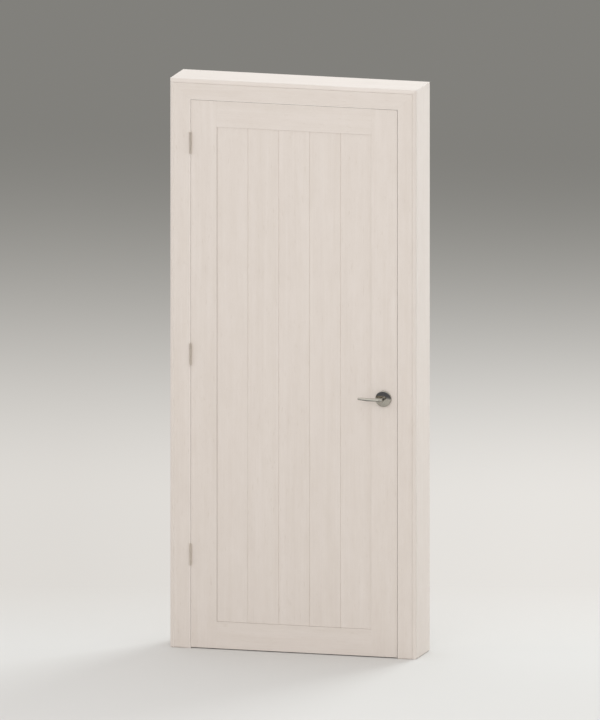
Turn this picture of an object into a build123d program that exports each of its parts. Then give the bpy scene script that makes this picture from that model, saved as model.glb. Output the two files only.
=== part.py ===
from build123d import *

import math
import os

os.makedirs("parts", exist_ok=True)

# An interior door in its frame: a boarded leaf on three butt hinges, with a lever handle on each face.
# Drawing axes: X from the frame's left edge to the right, Y from the front into the wall, Z up from the floor.
# All sizes are in millimetres. The finished pieces move to the origin, at the hinge post's foot.

# Frame, overall
FRAME_WIDTH = 910.0
FRAME_HEIGHT = 2059.0
FRAME_DEPTH = 182.0
HINGE_CASING = 76.5
LATCH_CASING = 68.7
HEAD_CASING = 73.2
CASING_DEPTH = 25.0
LINING = 30.0
COVER = 12.0
BACK_CASING_DEPTH = 22.0
FOOT_EASE = 3.5
FEET = (
    "hinge_post",
    "latch_post",
    "back_casing_hinge_side",
    "back_casing_latch_side",
    "outer_cover_hinge_side",
    "outer_cover_latch_side",
)

# Front moulding: rounded outer edge, a fine quirk beside it, then a gently curved face
ARRIS_RADIUS = 13.0
QUIRK_WIDTH = 1.6
QUIRK_DEPTH = 2.0
FACE_CREST = 34.0
FACE_FALL = 3.0
INNER_EASE = 1.5

# Stops on the lining, which the closed leaf rests against
STOP_THICKNESS = 12.0
STOP_WIDTH = 35.0
STOP_SETBACK = 2.0

# Leaf
HINGE_GAP = 0.8
UNDERCUT = 3.5
LEAF_WIDTH = 762.0
LEAF_HEIGHT = 1981.0
LEAF_THICKNESS = 38.0
LEAF_FACE = 5.0
STILE_WIDTH = 96.0
TOP_RAIL = 94.0
BOTTOM_RAIL = 97.0
BOARD_COUNT = 5
FIELD_SUNK = 2.2
FIELD_SLOT = 0.5
FIELD_SLOT_DEPTH = 3.0
BOARD_CHAMFER = 1.3
TONGUE_LENGTH = 7.0
TONGUE_THICKNESS = 6.0

# Butt hinges
HINGE_HEIGHTS = (340.0, 1063.5, 1828.5)
HINGE_LENGTH = 76.0
KNUCKLE_COUNT = 5
KNUCKLE_GAP = 0.3
BARREL_RADIUS = 3.5
PIN_RADIUS = 2.0
PIN_CLEARANCE = 0.05
PIN_AHEAD = 6.0
PLATE_THICKNESS = 2.0
PLATE_REACH = 32.0

# Lever handles
HANDLE_BACKSET = 50.0
HANDLE_HEIGHT = 938.0
ROSE_RADIUS = 29.0
ROSE_THICKNESS = 9.0
NECK_RADIUS = 8.0
BORE_CLEARANCE = 0.1
LEVER_PROJECTION = 50.0
LEVER_REACH = 85.0
FLARE_HALF = 7.0
WAIST_REACH = 18.0
WAIST_HALF = 3.0
EYE_HALF = 7.0
TIP_HALF = 3.2
TIP_DEPTH = 3.6
GRIP_DEPTH = 6.0
GRIP_BOW = 1.5
SPINDLE_SIDE = 8.0
STILE_BORE_RADIUS = 12.0

# Latch
FOREND_HEIGHT = 150.0
FOREND_WIDTH = 22.0
FOREND_THICKNESS = 3.0
BOLT_HEIGHT = 20.0
BOLT_WIDTH = 11.0
STRIKE_HEIGHT = 64.0
STRIKE_THICKNESS = 1.5

# Lines that follow from the sizes above
LEAF_LEFT = HINGE_CASING + HINGE_GAP
LEAF_RIGHT = LEAF_LEFT + LEAF_WIDTH
LEAF_TOP = UNDERCUT + LEAF_HEIGHT
LEAF_BACK = LEAF_FACE + LEAF_THICKNESS
OPENING_RIGHT = FRAME_WIDTH - LATCH_CASING
OPENING_TOP = FRAME_HEIGHT - HEAD_CASING
FIELD_LEFT = LEAF_LEFT + STILE_WIDTH
FIELD_RIGHT = LEAF_RIGHT - STILE_WIDTH
FIELD_BOTTOM = UNDERCUT + BOTTOM_RAIL
FIELD_TOP = LEAF_TOP - TOP_RAIL
BOARD_WIDTH = (FIELD_RIGHT - FIELD_LEFT) / BOARD_COUNT
LINING_BACK = FRAME_DEPTH - BACK_CASING_DEPTH
HINGE_X = HINGE_CASING + HINGE_GAP / 2
HINGE_Y = LEAF_FACE - PIN_AHEAD
HANDLE_X = LEAF_RIGHT - HANDLE_BACKSET
LEAF_MIDDLE = LEAF_FACE + LEAF_THICKNESS / 2
ORIGIN = (HINGE_CASING - LINING / 2, (CASING_DEPTH + LINING_BACK) / 2, 0.0)


def block(low, high):
    """A box between two corners."""
    size = [b - a for a, b in zip(low, high)]
    middle = [(a + b) / 2 for a, b in zip(low, high)]
    return Pos(*middle) * Box(*size)


def rod(x, y, z, radius, length):
    """A round bar along Y, starting at y."""
    return Pos(x, y, z) * Rot(-90, 0, 0) * Cylinder(radius, length, align=(Align.CENTER, Align.CENTER, Align.MIN))


def face_line(d):
    """How far the casing's face lies back at a distance d from the outer edge."""
    return FACE_FALL * ((d - FACE_CREST) / (HINGE_CASING - FACE_CREST)) ** 2


def casing_section(width):
    """Section of a post: moulded casing in front, lining behind it."""
    start = ARRIS_RADIUS + QUIRK_WIDTH
    end = width - INNER_EASE
    middle = (start + end) / 2
    bend = ARRIS_RADIUS * (1 - math.sqrt(0.5))
    lip = face_line(end)
    arris = ThreePointArc((0, ARRIS_RADIUS), (bend, bend), (ARRIS_RADIUS, 0))
    quirk_in = Line((ARRIS_RADIUS, 0), (ARRIS_RADIUS + QUIRK_WIDTH / 2, QUIRK_DEPTH))
    quirk_out = Line((ARRIS_RADIUS + QUIRK_WIDTH / 2, QUIRK_DEPTH), (start, face_line(start)))
    face = ThreePointArc((start, face_line(start)), (middle, face_line(middle)), (end, lip))
    ease = ThreePointArc((end, lip), (end + 0.72 * INNER_EASE, lip + 0.3 * INNER_EASE), (width, lip + INNER_EASE))
    rest = Polyline(
        (width, lip + INNER_EASE),
        (width, LINING_BACK),
        (width - LINING, LINING_BACK),
        (width - LINING, CASING_DEPTH),
        (0, CASING_DEPTH),
        (0, ARRIS_RADIUS),
    )
    return make_face([arris, quirk_in, quirk_out, face, ease, rest])


def back_section(width):
    """Section of a back casing, with its inner edge rounded."""
    radius = 4.0
    bend = radius * (1 - math.sqrt(0.5))
    edge = ThreePointArc((width, FRAME_DEPTH - radius), (width - bend, FRAME_DEPTH - bend), (width - radius, FRAME_DEPTH))
    rest = Polyline(
        (width - radius, FRAME_DEPTH),
        (COVER, FRAME_DEPTH),
        (COVER, LINING_BACK),
        (width, LINING_BACK),
        (width, FRAME_DEPTH - radius),
    )
    return make_face([edge, rest])


def prism(points):
    """A front outline of the frame, carried through its whole depth."""
    outline = Plane.XZ * make_face(Polyline(*points, points[0]))
    return extrude(outline, FRAME_DEPTH + 20, dir=(0, 1, 0)).moved(Pos(0, -10, 0))


def hinge_side_outline():
    """The hinge post's share of the frame, cut at 45 degrees at the top."""
    corner = HEAD_CASING
    return prism(
        [(-5, -5), (HINGE_CASING, -5), (HINGE_CASING, OPENING_TOP), (corner, OPENING_TOP), (-5, FRAME_HEIGHT + 5)]
    )


def latch_side_outline():
    """The latch post's share of the frame."""
    meet = FRAME_HEIGHT - LATCH_CASING
    return prism([(OPENING_RIGHT, -5), (FRAME_WIDTH + 5, -5), (FRAME_WIDTH + 5, FRAME_HEIGHT + 5), (OPENING_RIGHT, meet)])


def head_outline():
    """The head's share of the frame."""
    meet = FRAME_HEIGHT - LATCH_CASING
    return prism(
        [
            (-5, FRAME_HEIGHT + 5),
            (HEAD_CASING, OPENING_TOP),
            (OPENING_RIGHT, OPENING_TOP),
            (OPENING_RIGHT, meet),
            (FRAME_WIDTH + 5, FRAME_HEIGHT + 5),
        ]
    )


def along_hinge_side(section):
    return extrude(section, FRAME_HEIGHT, dir=(0, 0, 1)) & hinge_side_outline()


def along_latch_side(section):
    turned = mirror(extrude(section, FRAME_HEIGHT, dir=(0, 0, 1)), about=Plane.YZ).moved(Pos(FRAME_WIDTH, 0, 0))
    return turned & latch_side_outline()


def along_head(section):
    level = Plane(origin=(0, 0, FRAME_HEIGHT), x_dir=(0, 0, -1), z_dir=(1, 0, 0))
    return extrude(level * section, FRAME_WIDTH, dir=(1, 0, 0)) & head_outline()


def strike_recess():
    """Where the strike plate and the bolt's pocket are cut into the latch post."""
    plate = block(
        (OPENING_RIGHT, LEAF_MIDDLE - FOREND_WIDTH / 2, HANDLE_HEIGHT - STRIKE_HEIGHT / 2),
        (OPENING_RIGHT + STRIKE_THICKNESS, LEAF_MIDDLE + FOREND_WIDTH / 2, HANDLE_HEIGHT + STRIKE_HEIGHT / 2),
    )
    pocket = block(
        (OPENING_RIGHT, LEAF_MIDDLE - 7, HANDLE_HEIGHT - 13),
        (OPENING_RIGHT + 15, LEAF_MIDDLE + 7, HANDLE_HEIGHT + 13),
    )
    return plate + pocket


def frame_plate_recess(height):
    return block(
        (HINGE_CASING - PLATE_THICKNESS, -5, height - HINGE_LENGTH / 2),
        (HINGE_CASING + 1, PLATE_REACH, height + HINGE_LENGTH / 2),
    )


def leaf_plate_recess(height):
    return block(
        (LEAF_LEFT - 1, 0, height - HINGE_LENGTH / 2),
        (LEAF_LEFT + PLATE_THICKNESS, PLATE_REACH, height + HINGE_LENGTH / 2),
    )


def foot_wedge(x, y, turn):
    """A long three-cornered bar that bevels one side of a post's foot, turned about Z."""
    reach = FOOT_EASE + 1
    corner = Plane.XZ * make_face(Polyline((-1, -1), (reach, -1), (-1, reach), (-1, -1)))
    bar = extrude(corner, 2 * FRAME_WIDTH, dir=(0, 1, 0)).moved(Pos(0, -FRAME_WIDTH, 0))
    return Pos(x, y, 0) * Rot(0, 0, turn) * bar


def ease_foot(piece):
    """Bevels the outer edges of a post's foot, as end grain is eased before it is stood on a floor."""
    piece -= foot_wedge(0, 0, 0)
    piece -= foot_wedge(FRAME_WIDTH, 0, 180)
    piece -= foot_wedge(0, 0, 90)
    return piece - foot_wedge(0, FRAME_DEPTH, -90)


def build_frame():
    """Posts and head, cover boards that close the box, back casings and stops."""
    post_hinge = along_hinge_side(casing_section(HINGE_CASING))
    for height in HINGE_HEIGHTS:
        post_hinge -= frame_plate_recess(height)
    pieces = {
        "hinge_post": post_hinge,
        "latch_post": along_latch_side(casing_section(LATCH_CASING)) - strike_recess(),
        "head_jamb": along_head(casing_section(HEAD_CASING)),
        "back_casing_hinge_side": along_hinge_side(back_section(HINGE_CASING)),
        "back_casing_latch_side": along_latch_side(back_section(LATCH_CASING)),
        "back_casing_head": along_head(back_section(HEAD_CASING)),
    }
    top = FRAME_HEIGHT - COVER
    pieces["outer_cover_hinge_side"] = block((0, CASING_DEPTH, 0), (COVER, FRAME_DEPTH, top))
    pieces["outer_cover_latch_side"] = block((FRAME_WIDTH - COVER, CASING_DEPTH, 0), (FRAME_WIDTH, FRAME_DEPTH, top))
    pieces["outer_cover_top"] = block((0, CASING_DEPTH, top), (FRAME_WIDTH, FRAME_DEPTH, FRAME_HEIGHT))
    front = LEAF_BACK + STOP_SETBACK
    back = front + STOP_WIDTH
    under = OPENING_TOP - STOP_THICKNESS
    left = block((HINGE_CASING, front, 0), (HINGE_CASING + STOP_THICKNESS, back, under))
    right = block((OPENING_RIGHT - STOP_THICKNESS, front, 0), (OPENING_RIGHT, back, under))
    head = block((HINGE_CASING, front, under), (OPENING_RIGHT, back, OPENING_TOP))
    pieces["stop_hinge_side"] = ease_stop(left, HINGE_CASING + STOP_THICKNESS, Axis.Z)
    pieces["stop_latch_side"] = ease_stop(right, OPENING_RIGHT - STOP_THICKNESS, Axis.Z)
    pieces["stop_head"] = fillet(head.edges().filter_by(Axis.X).group_by(Axis.Z)[0], 2.0)
    pieces["strike_plate"] = strike_plate()
    for name in FEET:
        pieces[name] = ease_foot(pieces[name])
    return pieces


def ease_stop(stop, x, axis):
    """A stop with its two long inner edges rounded."""
    edges = [edge for edge in stop.edges().filter_by(axis) if abs(edge.center().X - x) < 0.01]
    return fillet(edges, 2.0)


def strike_plate():
    """Strike plate: a flat plate with the bolt's hole and a lip towards the front."""
    x = OPENING_RIGHT
    low = HANDLE_HEIGHT - STRIKE_HEIGHT / 2
    high = HANDLE_HEIGHT + STRIKE_HEIGHT / 2
    plate = block(
        (x, LEAF_MIDDLE - FOREND_WIDTH / 2, low), (x + STRIKE_THICKNESS, LEAF_MIDDLE + FOREND_WIDTH / 2, high)
    )
    hole = block((x - 1, LEAF_MIDDLE - 7, HANDLE_HEIGHT - 13), (x + 5, LEAF_MIDDLE + 7, HANDLE_HEIGHT + 13))
    return plate - hole


def board(index, front):
    """One tongued and grooved board of the field: V joints to its neighbours, a fine slot round the field."""
    left = FIELD_LEFT + index * BOARD_WIDTH
    right = left + BOARD_WIDTH
    outer = LEAF_FACE + FIELD_SUNK
    inner = LEAF_MIDDLE
    slot_back = outer + FIELD_SLOT_DEPTH
    body = block((left, outer, FIELD_BOTTOM), (right, inner, FIELD_TOP))
    body -= block((left - 1, outer - 1, FIELD_BOTTOM - 1), (right + 1, slot_back, FIELD_BOTTOM + FIELD_SLOT))
    body -= block((left - 1, outer - 1, FIELD_TOP - FIELD_SLOT), (right + 1, slot_back, FIELD_TOP + 1))
    middle = (outer + inner) / 2
    half = TONGUE_THICKNESS / 2
    front_edges = body.edges().filter_by(Axis.Z).group_by(Axis.Y)[0].sort_by(Axis.X)
    if index == 0:
        body = chamfer(front_edges[-1], BOARD_CHAMFER)
        body -= block((left - 1, outer - 1, FIELD_BOTTOM - 1), (left + FIELD_SLOT, slot_back, FIELD_TOP + 1))
    elif index == BOARD_COUNT - 1:
        body = chamfer(front_edges[0], BOARD_CHAMFER)
        body -= block((right - FIELD_SLOT, outer - 1, FIELD_BOTTOM - 1), (right + 1, slot_back, FIELD_TOP + 1))
    else:
        body = chamfer([front_edges[0], front_edges[-1]], BOARD_CHAMFER)
    if index < BOARD_COUNT - 1:
        body += block((right, middle - half, FIELD_BOTTOM), (right + TONGUE_LENGTH, middle + half, FIELD_TOP))
    if index > 0:
        body -= block((left, middle - half, FIELD_BOTTOM - 1), (left + TONGUE_LENGTH, middle + half, FIELD_TOP + 1))
    if not front:
        body = mirror(body, about=Plane(origin=(0, LEAF_MIDDLE, 0), z_dir=(0, 1, 0)))
    return body


def build_leaf():
    """Stiles, rails, boards on both faces, latch and roses."""
    hinge_stile = block((LEAF_LEFT, LEAF_FACE, UNDERCUT), (FIELD_LEFT, LEAF_BACK, LEAF_TOP))
    for height in HINGE_HEIGHTS:
        hinge_stile -= leaf_plate_recess(height)
    latch_stile = block((FIELD_RIGHT, LEAF_FACE, UNDERCUT), (LEAF_RIGHT, LEAF_BACK, LEAF_TOP))
    latch_stile -= rod(HANDLE_X, LEAF_FACE - 1, HANDLE_HEIGHT, STILE_BORE_RADIUS, LEAF_THICKNESS + 2)
    latch_stile -= forend_shape()
    latch_stile -= bolt_shape()
    pieces = {
        "leaf_stile_hinge_side": hinge_stile,
        "leaf_stile_latch_side": latch_stile,
        "leaf_top_rail": block((FIELD_LEFT, LEAF_FACE, FIELD_TOP), (FIELD_RIGHT, LEAF_BACK, LEAF_TOP)),
        "leaf_bottom_rail": block((FIELD_LEFT, LEAF_FACE, UNDERCUT), (FIELD_RIGHT, LEAF_BACK, FIELD_BOTTOM)),
        "latch_forend": forend_shape() - bolt_shape(),
        "latch_bolt": bolt_shape(),
        "rose_front": rose(True),
        "rose_back": rose(False),
    }
    for index in range(BOARD_COUNT):
        pieces[f"front_board_{index + 1}"] = board(index, True)
        pieces[f"back_board_{index + 1}"] = board(index, False)
    return pieces


def forend_shape():
    return block(
        (LEAF_RIGHT - FOREND_THICKNESS, LEAF_MIDDLE - FOREND_WIDTH / 2, HANDLE_HEIGHT - FOREND_HEIGHT / 2),
        (LEAF_RIGHT, LEAF_MIDDLE + FOREND_WIDTH / 2, HANDLE_HEIGHT + FOREND_HEIGHT / 2),
    )


def bolt_shape():
    """The spring bolt, drawn back until its nose is level with the leaf's edge."""
    return block(
        (LEAF_RIGHT - 25, LEAF_MIDDLE - BOLT_WIDTH / 2, HANDLE_HEIGHT - BOLT_HEIGHT / 2),
        (LEAF_RIGHT, LEAF_MIDDLE + BOLT_WIDTH / 2, HANDLE_HEIGHT + BOLT_HEIGHT / 2),
    )


def to_back(shape):
    """The same handle piece on the leaf's back face."""
    return mirror(shape, about=Plane(origin=(0, LEAF_MIDDLE, 0), z_dir=(0, 1, 0)))


def rose(front):
    """Round rose with a bevelled rim, bored for the lever's stem."""
    disc = rod(HANDLE_X, LEAF_FACE - ROSE_THICKNESS, HANDLE_HEIGHT, ROSE_RADIUS, ROSE_THICKNESS)
    rim = disc.edges().filter_by(GeomType.CIRCLE).group_by(Axis.Y)[0]
    disc = chamfer(rim, 1.8)
    disc -= rod(
        HANDLE_X, LEAF_FACE - ROSE_THICKNESS - 1, HANDLE_HEIGHT, NECK_RADIUS + BORE_CLEARANCE, ROSE_THICKNESS + 2
    )
    return disc if front else to_back(disc)


def grip_outline():
    """Front outline of the arm: a flare off the stem, a narrow waist, then an eye shape with a blunt tip."""
    x = HANDLE_X
    z = HANDLE_HEIGHT
    middle = x - (WAIST_REACH + LEVER_REACH) / 2
    waist = x - WAIST_REACH
    tip = x - LEVER_REACH
    upper_flare = ThreePointArc((x, z + FLARE_HALF), (x - 0.62 * WAIST_REACH, z + 0.62 * FLARE_HALF), (waist, z + WAIST_HALF))
    upper_eye = ThreePointArc((waist, z + WAIST_HALF), (middle, z + EYE_HALF), (tip, z + TIP_HALF))
    end = ThreePointArc((tip, z + TIP_HALF), (tip - 1.2, z), (tip, z - TIP_HALF))
    lower_eye = ThreePointArc((tip, z - TIP_HALF), (middle, z - EYE_HALF), (waist, z - WAIST_HALF))
    lower_flare = ThreePointArc((waist, z - WAIST_HALF), (x - 0.62 * WAIST_REACH, z - 0.62 * FLARE_HALF), (x, z - FLARE_HALF))
    close = Line((x, z - FLARE_HALF), (x, z + FLARE_HALF))
    return Plane.XZ * make_face([upper_flare, upper_eye, end, lower_eye, lower_flare, close])


def grip_plan():
    """The arm seen from above: its front bows out a little and its back follows, thinner towards the tip."""
    x = HANDLE_X
    front = LEAF_FACE - LEVER_PROJECTION
    middle = x - LEVER_REACH / 2
    tip = x - LEVER_REACH - 2
    outer = ThreePointArc((x, front), (middle, front - GRIP_BOW), (tip, front + 1.5))
    inner = ThreePointArc((tip, front + 1.5 + TIP_DEPTH), (middle, front - GRIP_BOW + GRIP_DEPTH), (x, front + GRIP_DEPTH + 2))
    return make_face([outer, Line((tip, front + 1.5), (tip, front + 1.5 + TIP_DEPTH)), inner, Line((x, front + GRIP_DEPTH + 2), (x, front))])


def lever(front):
    """Lever: a round stem, and an arm cut to its front outline and to its plan, with bevelled edges."""
    stem_end = LEAF_FACE - LEVER_PROJECTION - 0.5
    stem = rod(HANDLE_X, stem_end, HANDLE_HEIGHT, NECK_RADIUS, LEAF_FACE - 3.0 - stem_end)
    stem = chamfer(stem.edges().filter_by(GeomType.CIRCLE).group_by(Axis.Y)[0], 2.2)
    arm = extrude(grip_outline(), 80, dir=(0, -1, 0)) & extrude(grip_plan(), 40, dir=(0, 0, 1)).moved(
        Pos(0, 0, HANDLE_HEIGHT - 20)
    )
    long_edges = [edge for edge in arm.edges() if edge.center().X < HANDLE_X - WAIST_REACH and edge.length > 30]
    arm = chamfer(long_edges, 1.2)
    shape = stem + arm
    shape -= block(
        (HANDLE_X - SPINDLE_SIDE / 2, LEAF_FACE - 22.0, HANDLE_HEIGHT - SPINDLE_SIDE / 2),
        (HANDLE_X + SPINDLE_SIDE / 2, LEAF_FACE, HANDLE_HEIGHT + SPINDLE_SIDE / 2),
    )
    return shape if front else to_back(shape)


def spindle():
    return block(
        (HANDLE_X - SPINDLE_SIDE / 2, LEAF_FACE - 22.0, HANDLE_HEIGHT - SPINDLE_SIDE / 2),
        (HANDLE_X + SPINDLE_SIDE / 2, LEAF_BACK + 22.0, HANDLE_HEIGHT + SPINDLE_SIDE / 2),
    )


def knuckle_spans(height):
    """Lower and upper end of each knuckle, bottom to top."""
    pitch = HINGE_LENGTH / KNUCKLE_COUNT
    start = height - HINGE_LENGTH / 2
    half = KNUCKLE_GAP / 2
    return [(start + pitch * k + half, start + pitch * (k + 1) - half) for k in range(KNUCKLE_COUNT)]


def hinge_plate(height, on_frame):
    """One plate of a butt hinge with its share of the knuckles."""
    near = HINGE_CASING - PLATE_THICKNESS if on_frame else LEAF_LEFT
    far = near + PLATE_THICKNESS
    front = LEAF_FACE - 2.0 if on_frame else LEAF_FACE
    low = height - HINGE_LENGTH / 2
    plate = block((near, front, low), (far, PLATE_REACH, low + HINGE_LENGTH))
    own = 0 if on_frame else 1
    bore = PIN_RADIUS + (PIN_CLEARANCE if on_frame else 0.0)
    for bottom, top in knuckle_spans(height)[own::2]:
        middle = (bottom + top) / 2
        plate += Pos(HINGE_X, HINGE_Y, middle) * Cylinder(BARREL_RADIUS, top - bottom)
        plate += block((near, HINGE_Y, bottom), (far, front, top))
        plate -= Pos(HINGE_X, HINGE_Y, middle) * Cylinder(bore, top - bottom + 1)
    return plate


def hinge_pin(height):
    """Pin with a low round button at each end."""
    low = height - HINGE_LENGTH / 2
    pin = Pos(HINGE_X, HINGE_Y, height) * Cylinder(PIN_RADIUS, HINGE_LENGTH)
    for z in (low - 0.6, low + HINGE_LENGTH + 0.6):
        button = Pos(HINGE_X, HINGE_Y, z) * Cylinder(BARREL_RADIUS - 0.3, 1.2)
        pin += button
    return pin


def build_hinges():
    names = ("bottom", "middle", "top")
    pieces = {}
    for name, height in zip(names, HINGE_HEIGHTS):
        pieces[f"hinge_{name}_frame_plate"] = hinge_plate(height, True)
        pieces[f"hinge_{name}_leaf_plate"] = hinge_plate(height, False)
        pieces[f"hinge_{name}_pin"] = hinge_pin(height)
    return pieces


def build_handles():
    return {"lever_front": lever(True), "lever_back": lever(False), "spindle": spindle()}


for make in (build_frame, build_leaf, build_hinges, build_handles):
    for node, shape in make().items():
        solid = shape.moved(Pos(-ORIGIN[0], -ORIGIN[1], -ORIGIN[2]))
        export_step(solid, f"parts/{node}.step")
        print(node, [round(v, 1) for v in solid.bounding_box().size])
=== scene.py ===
# %% [markdown]
# # An interior door in its frame
# The real object is a pale, limed timber door: a leaf with a slightly sunk field of upright boards, hung on
# three butt hinges in a deep boxed frame, with a slim polished lever on a round rose. This lesson gives
# them their wood and metal, makes the levers and roses anew with a finer polish, adds the screws, and sets
# the door under soft studio light. Everything is in metres.

import math

import bmesh
import bpy
from mathutils import Color, Matrix, Vector


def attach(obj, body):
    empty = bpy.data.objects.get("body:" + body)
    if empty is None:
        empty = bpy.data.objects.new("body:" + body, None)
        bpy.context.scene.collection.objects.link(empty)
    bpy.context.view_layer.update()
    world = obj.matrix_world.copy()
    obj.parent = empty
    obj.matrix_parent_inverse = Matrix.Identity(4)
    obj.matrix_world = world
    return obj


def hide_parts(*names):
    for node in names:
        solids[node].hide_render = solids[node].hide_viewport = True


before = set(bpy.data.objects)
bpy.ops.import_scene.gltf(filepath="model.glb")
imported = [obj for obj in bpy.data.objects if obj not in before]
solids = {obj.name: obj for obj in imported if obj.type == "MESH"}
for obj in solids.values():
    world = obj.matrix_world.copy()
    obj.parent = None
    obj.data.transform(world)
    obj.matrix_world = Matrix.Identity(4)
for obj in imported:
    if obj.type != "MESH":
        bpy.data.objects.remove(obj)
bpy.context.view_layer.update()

# %% [markdown]
# ## Where things stand
# The drawing of the door counts millimetres from the frame's front left foot. The solids' own origin lies
# in the middle of the hinge post's foot, so one helper turns a place on the drawing into a place in the
# scene.

# %% Drawing to scene
ORIGIN_X = 61.5
ORIGIN_Y = 92.5
MM_PER_METRE = 1000


def place(x, y, z):
    """A point of the drawing, in millimetres, as a point of the scene, in metres."""
    return Vector(((x - ORIGIN_X) / MM_PER_METRE, (y - ORIGIN_Y) / MM_PER_METRE, z / MM_PER_METRE))


print("front left foot at", tuple(round(v, 4) for v in place(0, 0, 0)))

# %% [markdown]
# ## The camera
# In the photograph all uprights stay parallel, and so do all level edges, as a very long lens draws them.
# An orthographic camera gives just that. It looks from a little to the right and a little above.

# %% Camera
CAMERA_TURN = math.radians(15.6)
CAMERA_RISE = math.radians(10.65)
CAMERA_AWAY = 8
VIEW_HEIGHT = 2.561
VIEW_MIDDLE = place(481.8, 0, 1063.5)
FARTHEST_SEEN = 60

camera_data = bpy.data.cameras.new("camera")
camera_data.type = "ORTHO"
camera_data.ortho_scale = VIEW_HEIGHT
camera_data.clip_end = FARTHEST_SEEN
camera = bpy.data.objects.new("camera", camera_data)
bpy.context.scene.collection.objects.link(camera)
towards_camera = Vector(
    (
        math.sin(CAMERA_TURN) * math.cos(CAMERA_RISE),
        -math.cos(CAMERA_TURN) * math.cos(CAMERA_RISE),
        math.sin(CAMERA_RISE),
    )
)
camera.location = VIEW_MIDDLE + towards_camera * CAMERA_AWAY
camera.rotation_euler = (-towards_camera).to_track_quat("-Z", "Y").to_euler()
bpy.context.scene.camera = camera
print("camera at", tuple(round(v, 3) for v in camera.location))

# %% [markdown]
# ## Colours
# Colours are written as they look on screen, from 0 to 255. Shaders count in linear light, where half the
# number means half the light, so a helper turns the one into the other.

# %% Colours as they look
SCREEN_WHITE = 255


def shade(red, green, blue):
    """A screen colour as linear light, with full cover."""
    on_screen = Color((red / SCREEN_WHITE, green / SCREEN_WHITE, blue / SCREEN_WHITE))
    return (*on_screen.from_srgb_to_scene_linear(), 1.0)


LIMED = shade(221, 212, 205)
LIMED_DEEP = shade(207, 196, 186)
print("limed wood in linear light:", [round(v, 3) for v in LIMED[:3]])

# %% [markdown]
# ## A small kit for shader nodes
# Each material below is a handful of nodes. Adding a node, joining its sockets and setting its numbers by
# hand takes many lines, so a few helpers do it: the sockets of a node are filled by name, either with
# another node's output or with a plain value.

# %% Node helpers


def fill(tree, socket, value):
    """Links a node's output to a socket, or sets the socket to a plain value."""
    if isinstance(value, bpy.types.NodeSocket):
        tree.links.new(value, socket)
    else:
        socket.default_value = value


def join(tree, node, **sockets):
    """Fills sockets of a node by name."""
    for name, value in sockets.items():
        wanted = name.replace("_", " ").lower()
        fill(tree, next(s for s in node.inputs if s.name.lower() == wanted and s.enabled), value)


def add(tree, kind, settings=None, **sockets):
    """Adds a node with its settings, and fills its sockets."""
    made = tree.nodes.new(kind)
    for name, value in (settings or {}).items():
        setattr(made, name, value)
    join(tree, made, **sockets)
    return made


def use(tree, group, **sockets):
    """Places a node group in a tree, fills its sockets and returns its outputs."""
    return add(tree, "ShaderNodeGroup", {"node_tree": group}, **sockets).outputs


def maths(tree, operation, first, second=0.0, clamp=False):
    """One sum on two values."""
    made = add(tree, "ShaderNodeMath", {"operation": operation, "use_clamp": clamp})
    fill(tree, made.inputs[0], first)
    fill(tree, made.inputs[1], second)
    return made.outputs[0]


def scaled(tree, value, share):
    """A value times a plain number."""
    return maths(tree, "MULTIPLY", value, share)


def above(tree, value, level, gain):
    """How far a value rises above a level, made steeper and kept between 0 and 1."""
    return maths(tree, "MULTIPLY", maths(tree, "SUBTRACT", value, level, clamp=True), gain, clamp=True)


def blend_colours(tree, share, first, second):
    """Mixes two colours by a share from 0 to 1."""
    made = add(tree, "ShaderNodeMix", {"data_type": "RGBA", "clamp_factor": True})
    # a Mix node holds sockets for numbers, vectors and colours side by side, and these are for colours
    for number, value in ((0, share), (6, first), (7, second)):
        fill(tree, made.inputs[number], value)
    return made.outputs[2]


def stretched_noise(tree, where, scale, **sockets):
    """Noise that is drawn out along Z. The scale is about how many lumps a metre holds on each axis."""
    drawn = add(tree, "ShaderNodeMapping", Vector=where, Scale=scale)
    return add(tree, "ShaderNodeTexNoise", Vector=drawn.outputs[0], Scale=1.0, **sockets).outputs[0]


print("node helpers ready")

# %% [markdown]
# ## Starting groups and materials
# What several materials share goes into a node group, which is built once. A group's sockets are declared
# on its interface, and inside it one node hands out what comes in and another takes what goes out.

# %% Helpers that start a group or a material
FLOAT = "NodeSocketFloat"
VECTOR = "NodeSocketVector"
COLOUR = "NodeSocketColor"


def start_group(name, takes, gives):
    """An empty node group, the sockets inside it that hand values out, and those that take them."""
    group = bpy.data.node_groups.new(name, "ShaderNodeTree")
    for label, kind in takes.items():
        group.interface.new_socket(label, in_out="INPUT", socket_type=kind)
    for label, kind in gives.items():
        group.interface.new_socket(label, in_out="OUTPUT", socket_type=kind)
    return group, group.nodes.new("NodeGroupInput").outputs, group.nodes.new("NodeGroupOutput").inputs


def start_material(name):
    """A new material with its node tree, its shader and the place on the object that a pattern reads."""
    material = bpy.data.materials.new(name)
    material.use_nodes = True
    tree = material.node_tree
    where = tree.nodes.new("ShaderNodeTexCoord").outputs["Object"]
    return material, tree, tree.nodes["Principled BSDF"], where


print("starting helpers ready")

# %% [markdown]
# ## Grain
# Limed wood is open grained wood whose pores hold a white wax. From a few steps away it shows as very faint
# long streaks and clouds, where the wax lies thinner or thicker, with a short darker mark here and there.
# Close up there are fine pore lines, and a light unevenness that a finger can feel. Noise that is stretched
# along the grain, by a different amount for each, gives them all.

# %% Node group: grain
# lumps in a metre along X, Y and Z, with the grain along Z
STREAK_SCALE = (34, 34, 1.1)
CLOUD_SCALE = (26, 26, 9)
FIBRE_SCALE = (260, 260, 5.5)
MARK_SCALE = (190, 190, 30)
PORE_SCALE = (1100, 1100, 34)
NOISE_MIDDLE = 0.5
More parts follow.
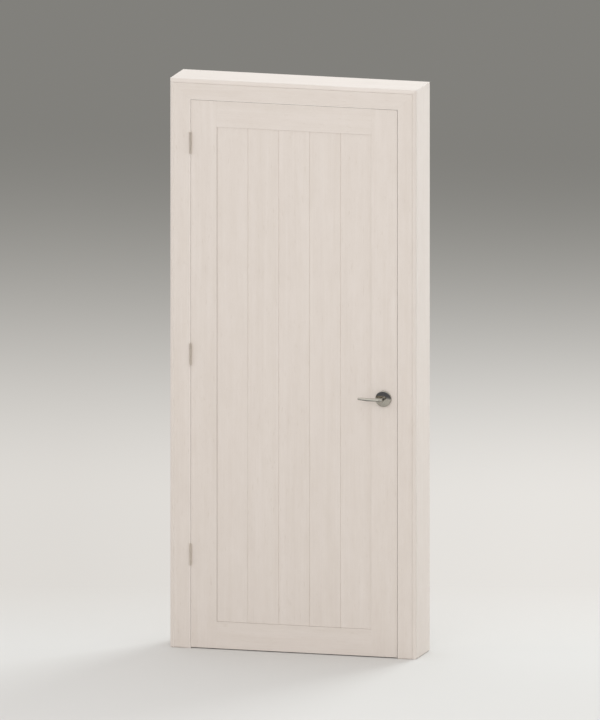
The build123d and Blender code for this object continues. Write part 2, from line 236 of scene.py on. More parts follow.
# the noise level that marks and pores start at, and how steeply they come up from there
MARK_LEVEL, MARK_GAIN = 0.66, 6.0
PORE_LEVEL, PORE_GAIN = 0.62, 3.0
STREAK_SHARE, FIBRE_SHARE, CLOUD_SHARE, MARK_SHARE = 0.6, 0.4, 0.6, 0.5
FIBRE_HEIGHT = 0.6


def make_grain_group():
    """From a place on the piece: the wood's tone, the wax in its pores, and its height."""
    group, takes, gives = start_group(
        "limed_grain",
        {"Vector": VECTOR},
        {"Tone": FLOAT, "Pore": FLOAT, "Height": FLOAT},
    )
    where = takes["Vector"]
    streaks = stretched_noise(group, where, STREAK_SCALE, Detail=3.0, Roughness=0.55, Distortion=0.6)
    fibres = stretched_noise(group, where, FIBRE_SCALE, Detail=2.0, Roughness=0.6)
    clouds = stretched_noise(group, where, CLOUD_SCALE, Detail=4.0, Roughness=0.65)
    dashes = stretched_noise(group, where, MARK_SCALE, Detail=1.0)
    specks = stretched_noise(group, where, PORE_SCALE, Detail=1.0)
    marks = above(group, dashes, MARK_LEVEL, MARK_GAIN)
    pores = above(group, specks, PORE_LEVEL, PORE_GAIN)
    tone = maths(group, "ADD", scaled(group, streaks, STREAK_SHARE), scaled(group, fibres, FIBRE_SHARE))
    uneven = scaled(group, maths(group, "SUBTRACT", clouds, NOISE_MIDDLE), CLOUD_SHARE)
    tone = maths(group, "ADD", tone, uneven)
    tone = maths(group, "SUBTRACT", tone, scaled(group, marks, MARK_SHARE), clamp=True)
    fill(group, gives["Tone"], tone)
    fill(group, gives["Pore"], pores)
    fill(group, gives["Height"], maths(group, "SUBTRACT", scaled(group, fibres, FIBRE_HEIGHT), pores))
    return group


grain_group = make_grain_group()
print("grain group:", len(grain_group.nodes), "nodes")

# %% [markdown]
# ## Worn edges
# Edges are touched and knocked more than flat faces, so wax and polish differ there. The Bevel node looks
# round a corner, and where its normal turns away from the true one, there is an edge. It finds inner
# corners as well as outer ones, so a colour laid by it also falls where shade gathers. Noise breaks the
# line up, because no edge wears evenly.

# %% Node group: worn edges
BEVEL_SAMPLES = 6
PATCH_SCALE = 60.0
EDGE_GAIN = 5.0


def make_wear_group():
    """How much an edge is worn, and the normal that rounds it."""
    group, takes, gives = start_group(
        "worn_edges",
        {"Vector": VECTOR, "Reach": FLOAT},
        {"Edge": FLOAT, "Normal": VECTOR},
    )
    corner = add(group, "ShaderNodeBevel", {"samples": BEVEL_SAMPLES}, Radius=takes["Reach"])
    flat = group.nodes.new("ShaderNodeNewGeometry")
    agree = add(group, "ShaderNodeVectorMath", {"operation": "DOT_PRODUCT"})
    fill(group, agree.inputs[0], corner.outputs[0])
    fill(group, agree.inputs[1], flat.outputs["Normal"])
    turned = maths(group, "SUBTRACT", 1.0, agree.outputs["Value"], clamp=True)
    edge = maths(group, "MULTIPLY", turned, EDGE_GAIN, clamp=True)
    patches = add(group, "ShaderNodeTexNoise", Vector=takes["Vector"], Scale=PATCH_SCALE, Detail=3.0)
    fill(group, gives["Edge"], maths(group, "MULTIPLY", edge, patches.outputs[0], clamp=True))
    fill(group, gives["Normal"], corner.outputs[0])
    return group


wear_group = make_wear_group()
print("wear group:", len(wear_group.nodes), "nodes")

# %% [markdown]
# ## Limed wood
# One recipe serves every timber piece. Only the direction of the grain and a shift of the pattern differ,
# so that neighbouring boards don't share their streaks. The white wax fills the pores, and a pale colour
# stays along edges: on worn outer edges it stands for wax, and in inner corners it is painted light that
# lifts their shade. Strips of painted light, a paler colour still, lie in the fine groove of the hinge post
# and on the edges that meet at the gaps round the leaf, where they lift the shade.

# %% Wood material
UPRIGHT = (0, 0, 0)
LEVEL = (0, math.radians(90), 0)
WAX_IN_PORES = shade(233, 228, 221)
# pale colour for worn, waxed edges; in inner corners it is painted light that lifts their shade
WAX_AND_LIGHT_ON_EDGES = shade(240, 234, 226)
# painted light: a pale colour in the hinge post's groove and beside the gaps round the leaf, lifting their
# shade
PAINTED_LIGHT_IN_STRIPS = shade(246, 241, 234)
PORE_WAX_SHARE = 0.35
WOOD_WEAR_REACH = 0.0008
# the roughness where the tone is lowest, and how much rougher it gets where the tone is highest
WOOD_ROUGHNESS, WOOD_ROUGHNESS_RANGE = 0.44, 0.12
WOOD_GLOSS = 0.5
# the strength of the bump, and the height it stands for, in metres
WOOD_BUMP, WOOD_RELIEF = 0.12, 0.0004


def limed_wood(name, edge_wax_and_light, turn=UPRIGHT, shift=(0, 0, 0), light_strips=()):
    """Limed wood whose grain runs along Z, or along X where turn lays it level.

    Strips carry painted light: a paler colour that lifts the shade in the groove and beside the gaps. Each
    gives the axis across it, where it lies on the drawing, in millimetres, how far it reaches to each side,
    in metres, and how strongly it lightens, from 0 to 1.
    """
    material, tree, shader, where = start_material(name)
    laid = add(tree, "ShaderNodeMapping", Vector=where, Rotation=turn, Location=shift)
    grain = use(tree, grain_group, Vector=laid.outputs[0])
    wear = use(tree, wear_group, Vector=where, Reach=WOOD_WEAR_REACH)
    wood = blend_colours(tree, grain["Tone"], LIMED_DEEP, LIMED)
    wood = blend_colours(tree, scaled(tree, grain["Pore"], PORE_WAX_SHARE), wood, WAX_IN_PORES)
    # pale edge colour: wax on worn outer edges, and painted light in inner corners that lifts their shade
    wood = blend_colours(tree, scaled(tree, wear["Edge"], edge_wax_and_light), wood, WAX_AND_LIGHT_ON_EDGES)
    across = add(tree, "ShaderNodeSeparateXYZ", Vector=where).outputs
    # strips of painted light that lift the shade in the groove and beside the gaps
    for axis, at, reach, share in light_strips:
        middle = place(at, 0, at)["XYZ".index(axis)]
        away = maths(tree, "ABSOLUTE", maths(tree, "SUBTRACT", across[axis], middle))
        inside = maths(tree, "LESS_THAN", away, reach)
        wood = blend_colours(tree, scaled(tree, inside, share), wood, PAINTED_LIGHT_IN_STRIPS)
    rough = maths(tree, "ADD", WOOD_ROUGHNESS, scaled(tree, grain["Tone"], WOOD_ROUGHNESS_RANGE))
    bump = add(tree, "ShaderNodeBump", Height=grain["Height"], Strength=WOOD_BUMP, Distance=WOOD_RELIEF)
    join(tree, bump, Normal=wear["Normal"])
    join(tree, shader, Base_Color=wood, Roughness=rough, Normal=bump.outputs[0])
    shader.inputs["Specular IOR Level"].default_value = WOOD_GLOSS
    return material


print("limed wood reads the groups", grain_group.name, "and", wear_group.name)

# %% [markdown]
# ## A wood for each kind of piece
# The frame has the most of the pale edge colour and the boards have the least. It also lightens inner
# corners, where it is painted light that lifts their shade, most of all on the frame. The posts, the
# stiles, the head and the top rail each get a wood of their own, because their strips of painted light lie
# at different places.

# %% Woods
# shares of the pale edge colour, which is also painted light in inner corners, strongest on the frame
FRAME_EDGE_WAX_AND_LIGHT, LEAF_EDGE_WAX_AND_LIGHT, BOARD_WAX = 0.8, 0.5, 0.25
# places across the door and up it, on the drawing, in millimetres
GROOVE = 13.8
POST_EDGE_HINGE, LEAF_EDGE_HINGE = 76.5, 77.3
LEAF_EDGE_LATCH, POST_EDGE_LATCH = 839.3, 841.3
LEAF_TOP, HEAD_UNDERSIDE = 1984.5, 1985.8
# how far a strip of painted light reaches to each side, in metres, and how strongly it lightens
GROOVE_REACH, POST_REACH, LEAF_REACH = 0.0012, 0.0015, 0.0006
GROOVE_LIGHT_SHARE, HINGE_GAP_LIGHT_SHARE, LATCH_GAP_LIGHT_SHARE, TOP_GAP_LIGHT_SHARE = 0.55, 0.35, 0.38, 0.75

frame_upright = limed_wood("frame_wood_upright", FRAME_EDGE_WAX_AND_LIGHT, shift=(0.31, 0.1, 0.7))
frame_level = limed_wood("frame_wood_level", FRAME_EDGE_WAX_AND_LIGHT, LEVEL, shift=(0.2, 0.6, 0.4))
leaf_level = limed_wood("leaf_wood_level", LEAF_EDGE_WAX_AND_LIGHT, LEVEL, shift=(0.5, 0.3, 0.9))
board_woods = []
for number in range(1, 6):
    shift = (0.17 * number, 0.37 * number, 0.61 * number)
    board_woods.append(limed_wood(f"board_wood_{number}", BOARD_WAX, shift=shift))

# pieces whose edges at the gaps carry a strip of painted light; the hinge post gets one in its groove too
GAP_LIGHTENED = (
    ("hinge_post", FRAME_EDGE_WAX_AND_LIGHT, UPRIGHT, "X", POST_EDGE_HINGE, POST_REACH, HINGE_GAP_LIGHT_SHARE),
    ("latch_post", FRAME_EDGE_WAX_AND_LIGHT, UPRIGHT, "X", POST_EDGE_LATCH, POST_REACH, LATCH_GAP_LIGHT_SHARE),
    ("head_jamb", FRAME_EDGE_WAX_AND_LIGHT, LEVEL, "Z", HEAD_UNDERSIDE, POST_REACH, TOP_GAP_LIGHT_SHARE),
    ("leaf_stile_hinge_side", LEAF_EDGE_WAX_AND_LIGHT, UPRIGHT, "X", LEAF_EDGE_HINGE, LEAF_REACH, HINGE_GAP_LIGHT_SHARE),
    ("leaf_stile_latch_side", LEAF_EDGE_WAX_AND_LIGHT, UPRIGHT, "X", LEAF_EDGE_LATCH, LEAF_REACH, LATCH_GAP_LIGHT_SHARE),
    ("leaf_top_rail", LEAF_EDGE_WAX_AND_LIGHT, LEVEL, "Z", LEAF_TOP, LEAF_REACH, TOP_GAP_LIGHT_SHARE),
)
gap_lightened_woods = {}
for number, (node, edge_wax_and_light, turn, *light_strip) in enumerate(GAP_LIGHTENED):
    light_strips = [light_strip]
    if node == "hinge_post":
        light_strips.insert(0, ("X", GROOVE, GROOVE_REACH, GROOVE_LIGHT_SHARE))
    shift = (0.29 * number, 0.43 * number, 0.13 * number)
    gap_lightened_woods[node] = limed_wood(f"{node}_wood", edge_wax_and_light, turn, shift, light_strips)
woods = [frame_upright, frame_level, leaf_level, *board_woods, *gap_lightened_woods.values()]
print("wood materials:", len(woods))

# %% [markdown]
# ## Metal
# The lever and rose are polished and mirror the room. The hinges and the latch are satin steel, drawn
# through a belt sander, so fine lines roughen their shine. Fingers leave faint smudges on all of them, and
# edges are rubbed brighter.

# %% Metal materials
SANDED_SCALE = (900, 900, 25)
SMUDGE_SCALE = 90.0
SMUDGE_SHARE, SMUDGED = 0.3, shade(150, 146, 140)
RUBBED_SHARE, RUBBED = 0.4, shade(225, 222, 216)
METAL_WEAR_REACH = 0.0005
# the height that the bump stands for, in metres
METAL_RELIEF = 0.0001


def satin_metal(name, colour, roughness, lines):
    """Metal whose fine lines add to its roughness and its bump."""
    material, tree, shader, where = start_material(name)
    streaks = stretched_noise(tree, where, SANDED_SCALE, Detail=2.0)
    smudges = add(tree, "ShaderNodeTexNoise", Vector=where, Scale=SMUDGE_SCALE, Detail=3.0).outputs[0]
    wear = use(tree, wear_group, Vector=where, Reach=METAL_WEAR_REACH)
    tint = blend_colours(tree, scaled(tree, smudges, SMUDGE_SHARE), colour, SMUDGED)
    tint = blend_colours(tree, scaled(tree, wear["Edge"], RUBBED_SHARE), tint, RUBBED)
    rough = maths(tree, "ADD", roughness, scaled(tree, streaks, lines), clamp=True)
    bump = add(tree, "ShaderNodeBump", Height=streaks, Strength=lines, Distance=METAL_RELIEF)
    join(tree, bump, Normal=wear["Normal"])
    join(tree, shader, Base_Color=tint, Roughness=rough, Normal=bump.outputs[0])
    shader.inputs["Metallic"].default_value = 1.0
    return material


hinge_steel = satin_metal("hinge_steel", shade(233, 223, 210), roughness=0.4, lines=0.25)
latch_steel = satin_metal("latch_steel", shade(185, 181, 174), roughness=0.28, lines=0.2)
polished = satin_metal("polished_metal", shade(176, 172, 162), roughness=0.06, lines=0.04)
print("metals:", hinge_steel.name, latch_steel.name, polished.name)

# %% [markdown]
# ## Dressing the solids
# Each solid keeps its shape and only gets its material. The grain follows the piece: upright in posts,
# stiles and boards, level in the head and rails.

# %% Materials on the solids
LEVEL_IN_FRAME = ("back_casing_head", "outer_cover_top", "stop_head")


def material_for(node):
    """The material of a solid, told by its name."""
    if node in gap_lightened_woods:
        return gap_lightened_woods[node]
    if node.startswith(("front_board_", "back_board_")):
        return board_woods[int(node[-1]) - 1]
    if node == "leaf_bottom_rail":
        return leaf_level
    if node.startswith(("lever", "rose")):
        return polished
    if node.startswith(("latch_forend", "latch_bolt", "strike", "spindle")):
        return latch_steel
    if node.startswith("hinge_"):
        return hinge_steel
    return frame_level if node in LEVEL_IN_FRAME else frame_upright


for node, solid in solids.items():
    solid.data.materials.clear()
    solid.data.materials.append(material_for(node))
print("dressed:", len(solids))

# %% [markdown]
# ## New pieces
# A few pieces are made here, because they need a smoother polish than the plain solids have, or are too
# small for them. Each mesh is finished in place, so the object itself stays at the origin, and it rides on
# the body that carries it.

# %% Helpers that finish a mesh
SAME_POINT = 1e-7


def pick(kind, made):
    """The vertices, edges or faces among what an operator made."""
    return [item for item in made["geom"] if isinstance(item, kind)]


def close_openings(work):
    """Puts a face into every open end."""
    bmesh.ops.holes_fill(work, edges=[edge for edge in work.edges if edge.is_boundary], sides=0)


def finish_piece(name, work, material, body, smooth=True, levels=0, stands_for=None):
    """Turns a bmesh into a riding object with its material, and rounds it if asked."""
    bmesh.ops.remove_doubles(work, verts=work.verts, dist=SAME_POINT)
    bmesh.ops.recalc_face_normals(work, faces=work.faces)
    mesh = bpy.data.meshes.new(name)
    work.to_mesh(mesh)
    work.free()
    mesh.materials.append(material)
    for face in mesh.polygons:
        face.use_smooth = smooth
    piece = bpy.data.objects.new(name, mesh)
    bpy.context.scene.collection.objects.link(piece)
    if levels:
        rounder = piece.modifiers.new("rounder", "SUBSURF")
        rounder.levels = levels
        rounder.render_levels = levels
    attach(piece, body)
    if stands_for:
        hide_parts(stands_for)
    return piece


print("helpers ready")

# %% [markdown]
# ## The rose
# The rose is the round plate that hides the hole in the stile. The real one is pressed and polished: a
# straight rim that stands on the wood, a rounded edge, and a face that is very slightly domed, which is why
# it mirrors the dark wall above its middle and the pale floor below. A profile spun once round the handle's
# axis gives that.

# %% Roses
HANDLE_X = 789.3
HANDLE_Z = 938.0
LEAF_FACE = {"front": 5.0, "back": 43.0}
OUT = {"front": -1, "back": 1}
# radius and distance out from the leaf, in millimetres, from the hole to the foot of the rim
ROSE_PROFILE = (
    (9.0, 8.9),
    (16.0, 8.7),
    (22.0, 8.25),
    (26.0, 7.7),
    (28.2, 7.2),
    (28.8, 6.7),
    (29.0, 6.0),
    (29.0, 0.0),
)
ROSE_STEPS = 72
MEETING_POINT = 1e-6


def outwards(side, distance):
    """Where on Y a point lies that stands out from a face of the leaf by a distance."""
    return LEAF_FACE[side] + OUT[side] * distance


def spin_profile(work, profile, side, steps):
    """Spins a profile round the handle's axis, merges what meets on the axis and closes the ends."""
    previous = None
    for radius, distance in profile:
        corner = work.verts.new(place(HANDLE_X + radius, outwards(side, distance), HANDLE_Z))
        if previous:
            work.edges.new((previous, corner))
        previous = corner
    drawn = work.verts[:] + work.edges[:]
    middle = place(HANDLE_X, LEAF_FACE["front"], HANDLE_Z)
    bmesh.ops.spin(
        work,
        geom=drawn,
        cent=middle,
        axis=(0, 1, 0),
        angle=math.tau,
        steps=steps,
        use_merge=True,
    )
    bmesh.ops.remove_doubles(work, verts=work.verts, dist=MEETING_POINT)
    close_openings(work)


def make_rose(side):
    """The round plate on one face of the leaf."""
    work = bmesh.new()
    spin_profile(work, ROSE_PROFILE, side, ROSE_STEPS)
    return finish_piece(
        f"rose_{side}_turned",
        work,
        polished,
        "leaf",
        stands_for=f"rose_{side}",
    )


roses = [make_rose(side) for side in LEAF_FACE]
print("roses:", [len(rose.data.polygons) for rose in roses])

# %% [markdown]
# ## The lever
# The lever is forged in one piece: a round stem comes out of the rose and ends in a low dome, and the arm
# leaves it sideways, draws in a little, swells again and tapers to a blunt tip. Its upper face leans back
# and catches the light, and its lower edge is upright and stays dark. The stem is a spun profile. The arm
# is one ring of points that is extruded from station to station, and a subdivision surface rounds it.

# %% Levers
# radius and distance out from the leaf, in millimetres, from inside the rose to the tip of the dome
STEM_PROFILE = ((8.0, 6.0), (8.0, 40.0), (7.7, 43.4), (6.6, 46.2), (4.6, 48.3), (2.2, 49.5), (0.0, 49.9))
STEM_STEPS = 16
# height and depth of the arm's section, in shares of its half height and half depth
SECTION = (
    (1.0, -0.5),
    (0.8, 0.1),
    (0.3, 0.6),
    (-0.3, 0.92),
    (-0.8, 1.0),
    (-1.0, 0.75),
    (-1.0, -0.6),
    (-0.5, -0.95),
    (0.4, -1.0),
    (0.85, -0.9),
)
# distance from the axis, distance out from the leaf, rise, half height and half depth, in millimetres
ARM_STATIONS = (
    (-3.0, 41.5, 0.8, 6.0, 5.4),
    (4.0, 42.5, 1.2, 5.8, 5.0),
    (10.0, 43.4, 1.6, 5.2, 4.4),
    (17.0, 44.2, 1.8, 4.8, 4.2),
    (26.0, 44.8, 1.9, 5.1, 4.2),
    (38.0, 45.2, 2.0, 5.5, 4.1),
    (50.0, 45.3, 2.3, 5.5, 4.0),
    (62.0, 45.2, 2.7, 5.0, 3.6),
    (73.0, 44.9, 3.1, 4.3, 3.1),
    (81.0, 44.6, 3.4, 3.6, 2.7),
    (84.4, 44.4, 3.6, 3.2, 2.4),
)
LEVER_LEVELS = 2


def draw_arm(work, side):
    """Extrudes a ring of points through the stations, and fits it to the size at each."""
    ring = []
    for rise, depth in SECTION:
        ring.append(work.verts.new((0, OUT[side] * depth / MM_PER_METRE, rise / MM_PER_METRE)))
    edges = [work.edges.new((ring[n - 1], ring[n])) for n in range(len(ring))]
    centre, height, depth = Vector((0, 0, 0)), 1.0, 1.0
    for number, (reach, distance, rise, half_height, half_depth) in enumerate(ARM_STATIONS):
        if number:
            made = bmesh.ops.extrude_edge_only(work, edges=edges)
            ring = pick(bmesh.types.BMVert, made)
            edges = [edge for edge in pick(bmesh.types.BMEdge, made) if all(v in ring for v in edge.verts)]
        station = place(HANDLE_X - reach, outwards(side, distance), HANDLE_Z + rise)
        bmesh.ops.translate(work, vec=-centre, verts=ring)
        bmesh.ops.scale(work, vec=(1, half_depth / depth, half_height / height), verts=ring)
        bmesh.ops.translate(work, vec=station, verts=ring)
        centre, height, depth = station, half_height, half_depth
    close_openings(work)


def make_lever(side):
    """The stem and the arm on one face of the leaf."""
    work = bmesh.new()
    spin_profile(work, STEM_PROFILE, side, STEM_STEPS)
    draw_arm(work, side)
    return finish_piece(
        f"lever_{side}_forged",
        work,
        polished,
        "handle",
        levels=LEVER_LEVELS,
        stands_for=f"lever_{side}",
    )


levers = [make_lever(side) for side in LEAF_FACE]
print("levers:", [len(lever.data.polygons) for lever in levers])

# %% [markdown]
# ## A screw head
# Countersunk screws with a cross recess hold the hinge plates, the forend and the strike. A head is a thin
# disc. Planes cut it into strips, and the strips that form the cross are pressed in together. The cross
# stays inside the disc, so the head is one closed shape.

# %% Screw head
SCREW_RADIUS = 0.0035
SCREW_PROUD = 0.00015
SCREW_SIDES = 20
CROSS_HALF = 0.0005
CROSS_REACH = 0.0019
CROSS_DEPTH = 0.0001
NEAR_THE_TOP = 0.9 * SCREW_PROUD


def cut(work, way, offset):
    """Cuts a mesh along a plane, and keeps both sides."""
    everything = work.verts[:] + work.edges[:] + work.faces[:]
    bmesh.ops.bisect_plane(work, geom=everything, plane_co=way * offset, plane_no=way)


def extrude_by(work, faces, rise, keep=False):
    """Extrudes faces straight up, or down where the rise is below 0."""
    made = bmesh.ops.extrude_face_region(work, geom=faces, use_keep_orig=keep)
    bmesh.ops.translate(work, vec=(0, 0, rise), verts=pick(bmesh.types.BMVert, made))


def screw_head():
    """A disc with a cross recess, at the origin and facing up."""
    head = bmesh.new()
    bmesh.ops.create_circle(head, cap_ends=True, segments=SCREW_SIDES, radius=SCREW_RADIUS)
    extrude_by(head, head.faces[:], SCREW_PROUD, keep=True)
    for offset in (-CROSS_REACH, -CROSS_HALF, CROSS_HALF, CROSS_REACH):
        cut(head, Vector((1, 0, 0)), offset)
        cut(head, Vector((0, 1, 0)), offset)
    cross = []
    for face in head.faces:
        middle = face.calc_center_median()
        near, far = sorted((abs(middle.x), abs(middle.y)))
        if middle.z > NEAR_THE_TOP and near < CROSS_HALF and far < CROSS_REACH:
            cross.append(face)
    extrude_by(head, cross, -CROSS_DEPTH)
    return head


sample = screw_head()
print("faces of a screw head:", len(sample.faces))
sample.free()

# %% [markdown]
# ## Screws
# They show once the leaf stands open: three in each hinge plate, set in a zigzag so that they don't split
# the wood along one line of grain, and two in each latch plate. Each is turned to another angle, as a
# joiner leaves them.

# %% Screws
FIRST_TURN, NEXT_TURN = 17, 31
HINGE_HEIGHTS = {"bottom": 340.0, "middle": 1063.5, "top": 1828.5}
# depth and rise of the three screws of a hinge plate, and rise of the two of each latch plate
HINGE_SCREWS = ((12, -26), (24, 0), (12, 26))
LATCH_DEPTH = 24
FOREND_RISES = (-67, 67)
STRIKE_RISES = (-26, 26)


def screws(name, centres, facing, body, material):
    """Screw heads at points of the drawing, looking along +X where facing is 1 and -X where it is -1."""
    work = bmesh.new()
    for number, centre in enumerate(centres):
        head = screw_head()
        screwed = Matrix.Rotation(math.radians(FIRST_TURN + NEXT_TURN * number), 3, "Z")
        faced = Matrix.Rotation(math.radians(90 * facing), 3, "Y")
        bmesh.ops.rotate(head, matrix=screwed, verts=head.verts)
        bmesh.ops.rotate(head, matrix=faced, verts=head.verts)
        bmesh.ops.translate(head, vec=place(*centre), verts=head.verts)
        carrier = bpy.data.meshes.new("carrier")
        head.to_mesh(carrier)
        head.free()
        work.from_mesh(carrier)
        bpy.data.meshes.remove(carrier)
    return finish_piece(name, work, material, body, smooth=False)


fasteners = []
for which, height in HINGE_HEIGHTS.items():
    for body, edge, facing in (("frame", POST_EDGE_HINGE, 1), ("leaf", LEAF_EDGE_HINGE, -1)):
        name = f"hinge_{which}_{body}_screws"
        centres = [(edge, depth, height + rise) for depth, rise in HINGE_SCREWS]
        fasteners.append(screws(name, centres, facing, body, hinge_steel))
in_forend = [(LEAF_EDGE_LATCH, LATCH_DEPTH, HANDLE_Z + rise) for rise in FOREND_RISES]
in_strike = [(POST_EDGE_LATCH, LATCH_DEPTH, HANDLE_Z + rise) for rise in STRIKE_RISES]
fasteners.append(screws("forend_screws", in_forend, 1, "leaf", latch_steel))
fasteners.append(screws("strike_screws", in_strike, -1, "frame", latch_steel))
print("screw pieces:", len(fasteners))

# %% [markdown]
# ## The backdrop's painted light
# In the picture the door stands on a seamless pale sweep: the floor takes the soft shadow, and behind the
# door it turns without an edge into a backdrop that darkens upwards. Both sheets share one glow of painted
# light, which stands for the lamps' light on the far floor and the backdrop: paler low down and to the
# right, darker upwards. It depends on how far up the picture a place lies, which is its height and its
# distance back, each by its share in the camera's tilt.

# %% Node group: the sweep's painted light
# painted light: paler low down and to the right, darker upwards, standing for the lamps' light on the sweep
# screen colours from 0 to 1, which the Gamma node turns into linear light
LOW_LEFT = (0.866, 0.852, 0.832, 1)
LOW_RIGHT = (0.903, 0.891, 0.873, 1)
HIGH = (0.503, 0.498, 0.481, 1)
SCREEN_GAMMA = 2.2
# metres to the side of the door's middle, and then metres up the picture
LEFT_END, RIGHT_END = -0.8, 0.9
DARKENS_FROM = 0.53
DARKENS_TO, SOONER_ON_RIGHT = 1.91, 0.1


def make_painted_sweep_group():
    """The sweep's painted light at a place."""
    group, takes, gives = start_group("painted_sweep_light", {"Place": VECTOR}, {"Tint": COLOUR})
    axes = add(group, "ShaderNodeSeparateXYZ", Vector=takes["Place"]).outputs
    back = scaled(group, axes["Y"], math.sin(CAMERA_RISE))
    rise = maths(group, "ADD", scaled(group, axes["Z"], math.cos(CAMERA_RISE)), back)
    right = add(group, "ShaderNodeMapRange", Value=axes["X"], From_Min=LEFT_END, From_Max=RIGHT_END)
    right = right.outputs["Result"]
    end = maths(group, "SUBTRACT", DARKENS_TO, scaled(group, right, SOONER_ON_RIGHT))
    smooth = {"interpolation_type": "SMOOTHSTEP"}
    dark = add(group, "ShaderNodeMapRange", smooth, Value=rise, From_Min=DARKENS_FROM, From_Max=end)
    low = blend_colours(group, right, LOW_LEFT, LOW_RIGHT)
    tint = blend_colours(group, dark.outputs["Result"], low, HIGH)
    linear = add(group, "ShaderNodeGamma", Color=tint, Gamma=SCREEN_GAMMA)
    fill(group, gives["Tint"], linear.outputs[0])
    return group


painted_sweep_group = make_painted_sweep_group()
print("sweep group:", len(painted_sweep_group.nodes), "nodes")

# %% [markdown]
# ## The floor's and the backdrop's material
# The floor is matt paper, lit near the door, and further back it turns into the sweep's painted light, a
# glow in place of the lamps' light. The backdrop shows that painted light alone, from its front only, so
# that it doesn't stand in the way when the door is looked at from behind. Only the camera sees the glow, so
# neither sheet throws it onto the door.

# %% Floor and backdrop materials
FLOOR_PAPER = shade(208, 206, 203)
PAPER_ROUGHNESS = 0.9
PAPER_GLOSS = 0.1
# metres behind the door's front
FADE_FROM, FADE_TO = 0.1, 1.3


def show_painted_sweep(tree, where, share, base):
    """Shows the sweep's painted light, a glow, over a base shader, by a share, to the camera only."""
    tint = use(tree, painted_sweep_group, Place=where)["Tint"]
    glow = add(tree, "ShaderNodeEmission", Color=tint, Strength=1.0)
    rays = tree.nodes.new("ShaderNodeLightPath")
    mixed = tree.nodes.new("ShaderNodeMixShader")
    fill(tree, mixed.inputs[0], maths(tree, "MULTIPLY", share, rays.outputs["Is Camera Ray"]))
    fill(tree, mixed.inputs[1], base)
    fill(tree, mixed.inputs[2], glow.outputs[0])
    fill(tree, tree.nodes["Material Output"].inputs["Surface"], mixed.outputs[0])


def floor_material():
    """Matt paper that turns into the sweep's painted light behind the door."""
    material, tree, paper, where = start_material("floor")
    paper.inputs["Base Color"].default_value = FLOOR_PAPER
    paper.inputs["Roughness"].default_value = PAPER_ROUGHNESS
    paper.inputs["Specular IOR Level"].default_value = PAPER_GLOSS
    axes = add(tree, "ShaderNodeSeparateXYZ", Vector=where)
    fade = add(tree, "ShaderNodeMapRange", Value=axes.outputs["Y"], From_Min=FADE_FROM, From_Max=FADE_TO)
    show_painted_sweep(tree, where, fade.outputs["Result"], paper.outputs[0])
    return material


def backdrop_material():
    """The sweep's painted light alone, clear from behind."""
    material, tree, paper, where = start_material("backdrop")
    tree.nodes.remove(paper)
    side = tree.nodes.new("ShaderNodeNewGeometry")
    front = maths(tree, "SUBTRACT", 1.0, side.outputs["Backfacing"])
    clear = tree.nodes.new("ShaderNodeBsdfTransparent")
    show_painted_sweep(tree, where, front, clear.outputs[0])
    return material


paper_floor = floor_material()
paper_backdrop = backdrop_material()
print("stage materials:", paper_floor.name, paper_backdrop.name)

# %% [markdown]
# ## The sweep's two sheets
# Each sheet is a plain grid, turned to face the camera. The floor runs back to the foot of the backdrop,
# which stands upright there.

# %% Floor and backdrop
SHEET_HALF_WIDTH = 14
FLOOR_HALF_DEPTH = 5.4
BACKDROP_HALF_HEIGHT = 4
BACKDROP_AT = 6.0
LYING, STANDING = 0, 90
DOOR_MIDDLE = place(455, 0, 0)


def sheet(name, half_length, tip, move, material):
    """A flat sheet, tipped up and moved in its mesh, then turned to face the camera."""
    work = bmesh.new()
    bmesh.ops.create_grid(work, x_segments=1, y_segments=1, size=1)
    bmesh.ops.scale(work, vec=(SHEET_HALF_WIDTH, half_length, 1), verts=work.verts)
    bmesh.ops.rotate(work, matrix=Matrix.Rotation(math.radians(tip), 3, "X"), verts=work.verts)
    bmesh.ops.translate(work, vec=move, verts=work.verts)
    mesh = bpy.data.meshes.new(name)
    work.to_mesh(mesh)
    work.free()
    mesh.materials.append(material)
    made = bpy.data.objects.new(name, mesh)
    made.location = DOOR_MIDDLE
    made.rotation_euler = (0, 0, CAMERA_TURN)
    bpy.context.scene.collection.objects.link(made)
    return made


floor_move = (0, BACKDROP_AT - FLOOR_HALF_DEPTH, 0)
backdrop_move = (0, BACKDROP_AT, BACKDROP_HALF_HEIGHT)
floor = sheet("floor", FLOOR_HALF_DEPTH, LYING, floor_move, paper_floor)
backdrop = sheet("backdrop", BACKDROP_HALF_HEIGHT, STANDING, backdrop_move, paper_backdrop)
print("stage:", floor.name, backdrop.name, "facing", tuple(backdrop.data.polygons[0].normal))

# %% [markdown]
# ## Lamps
# The picture has light from all round with hardly a shadow: the front is even, the right side is a touch
# brighter and the top brighter still, and the shadow on the floor falls forwards and to the left. So the
# room gives most of the light, one large soft lamp stands high behind the door, to the right, and a weaker
# one in front lifts the wood. Shiny metal doesn't show the weaker one.

# %% Lamps


def softbox(name, where, aim, size, power):
    """A square lamp that looks at a point."""
    light = bpy.data.lights.new(name, "AREA")
    light.shape = "SQUARE"
    light.size = size
    light.energy = power
    lamp = bpy.data.objects.new(name, light)
    lamp.location = where
    lamp.rotation_euler = (Vector(aim) - Vector(where)).to_track_quat("-Z", "Y").to_euler()
    bpy.context.scene.collection.objects.link(lamp)
    return lamp


key = softbox("key", where=(2.35, 5.3, 4.15), aim=(0.4, 0, 0.8), size=2.8, power=210)
key.data.color = (0.9, 0.98, 1.0)
weaker = softbox("fill", where=(1.0, -5.0, 2.6), aim=(0.4, 0, 1.1), size=2.6, power=48)
weaker.visible_glossy = False
print("lamps:", key.name, weaker.name)

# %% [markdown]
# ## The room
# The room lights the door evenly, in white. Polished metal shows what a room looks like, so shiny rays meet
# another picture of it: a pale floor below, a dark band of wall at eye height and a bright ceiling in
# front, and a bright room behind the door, which gives the wood its cool sheen where it is seen at a low
# angle. A camera that looks past the sheets sees a plain pale grey.

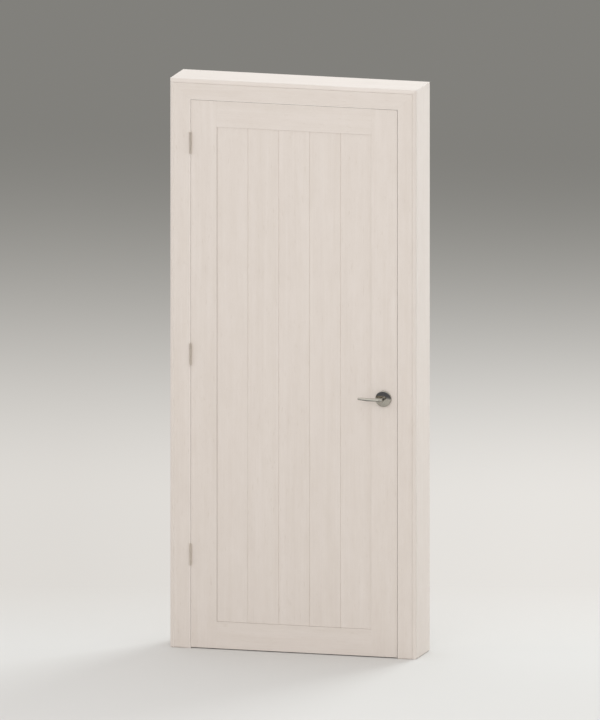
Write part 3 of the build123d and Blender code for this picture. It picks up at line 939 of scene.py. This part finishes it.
# %% Room
MIRRORED_FLOOR = (0.6, 0.6, 0.6, 1)
MIRRORED_WALL = (0.17, 0.175, 0.2, 1)
MIRRORED_CEILING = (1.25, 1.25, 1.25, 1)
MIRRORED_BEHIND = (1.24, 1.27, 1.3, 1)
# where each starts, from 0 straight below to 1 straight above
BANDS = ((0.4, MIRRORED_FLOOR), (0.44, MIRRORED_WALL), (0.62, MIRRORED_WALL), (0.7, MIRRORED_CEILING))
# from -1 straight in front of the door to 1 straight behind it
BEHIND_FROM, BEHIND_TO = -0.1, 0.2
SEEN_PAST_SHEETS = shade(224, 222, 218)

world = bpy.data.worlds.new("room")
bpy.context.scene.world = world
world.use_nodes = True
room = world.node_tree
plain = room.nodes["Background"]
join(room, plain, Color=(1, 1, 1, 1), Strength=1.0)
facing = room.nodes.new("ShaderNodeTexCoord")
way = add(room, "ShaderNodeSeparateXYZ", Vector=facing.outputs["Generated"]).outputs
upward = scaled(room, maths(room, "ADD", way["Z"], 1.0), 0.5)
bands = add(room, "ShaderNodeValToRGB", Fac=upward)
steps = bands.color_ramp.elements
for at, _ in BANDS[2:]:
    steps.new(at)
for step, (at, colour) in zip(steps, BANDS):
    step.position = at
    step.color = colour
behind = add(room, "ShaderNodeMapRange", Value=way["Y"], From_Min=BEHIND_FROM, From_Max=BEHIND_TO)
shown = blend_colours(room, behind.outputs["Result"], bands.outputs["Color"], MIRRORED_BEHIND)
mirrored = add(room, "ShaderNodeBackground", Color=shown, Strength=1.0)
seen = add(room, "ShaderNodeBackground", Color=SEEN_PAST_SHEETS, Strength=1.0)
rays = room.nodes.new("ShaderNodeLightPath").outputs
surface = plain.outputs[0]
for ray, special in (("Is Glossy Ray", mirrored), ("Is Camera Ray", seen)):
    choice = room.nodes.new("ShaderNodeMixShader")
    fill(room, choice.inputs[0], rays[ray])
    fill(room, choice.inputs[1], surface)
    fill(room, choice.inputs[2], special.outputs[0])
    surface = choice.outputs[0]
fill(room, room.nodes["World Output"].inputs["Surface"], surface)
bpy.context.scene.view_settings.view_transform = "Standard"
print("room:", len(room.nodes), "nodes")
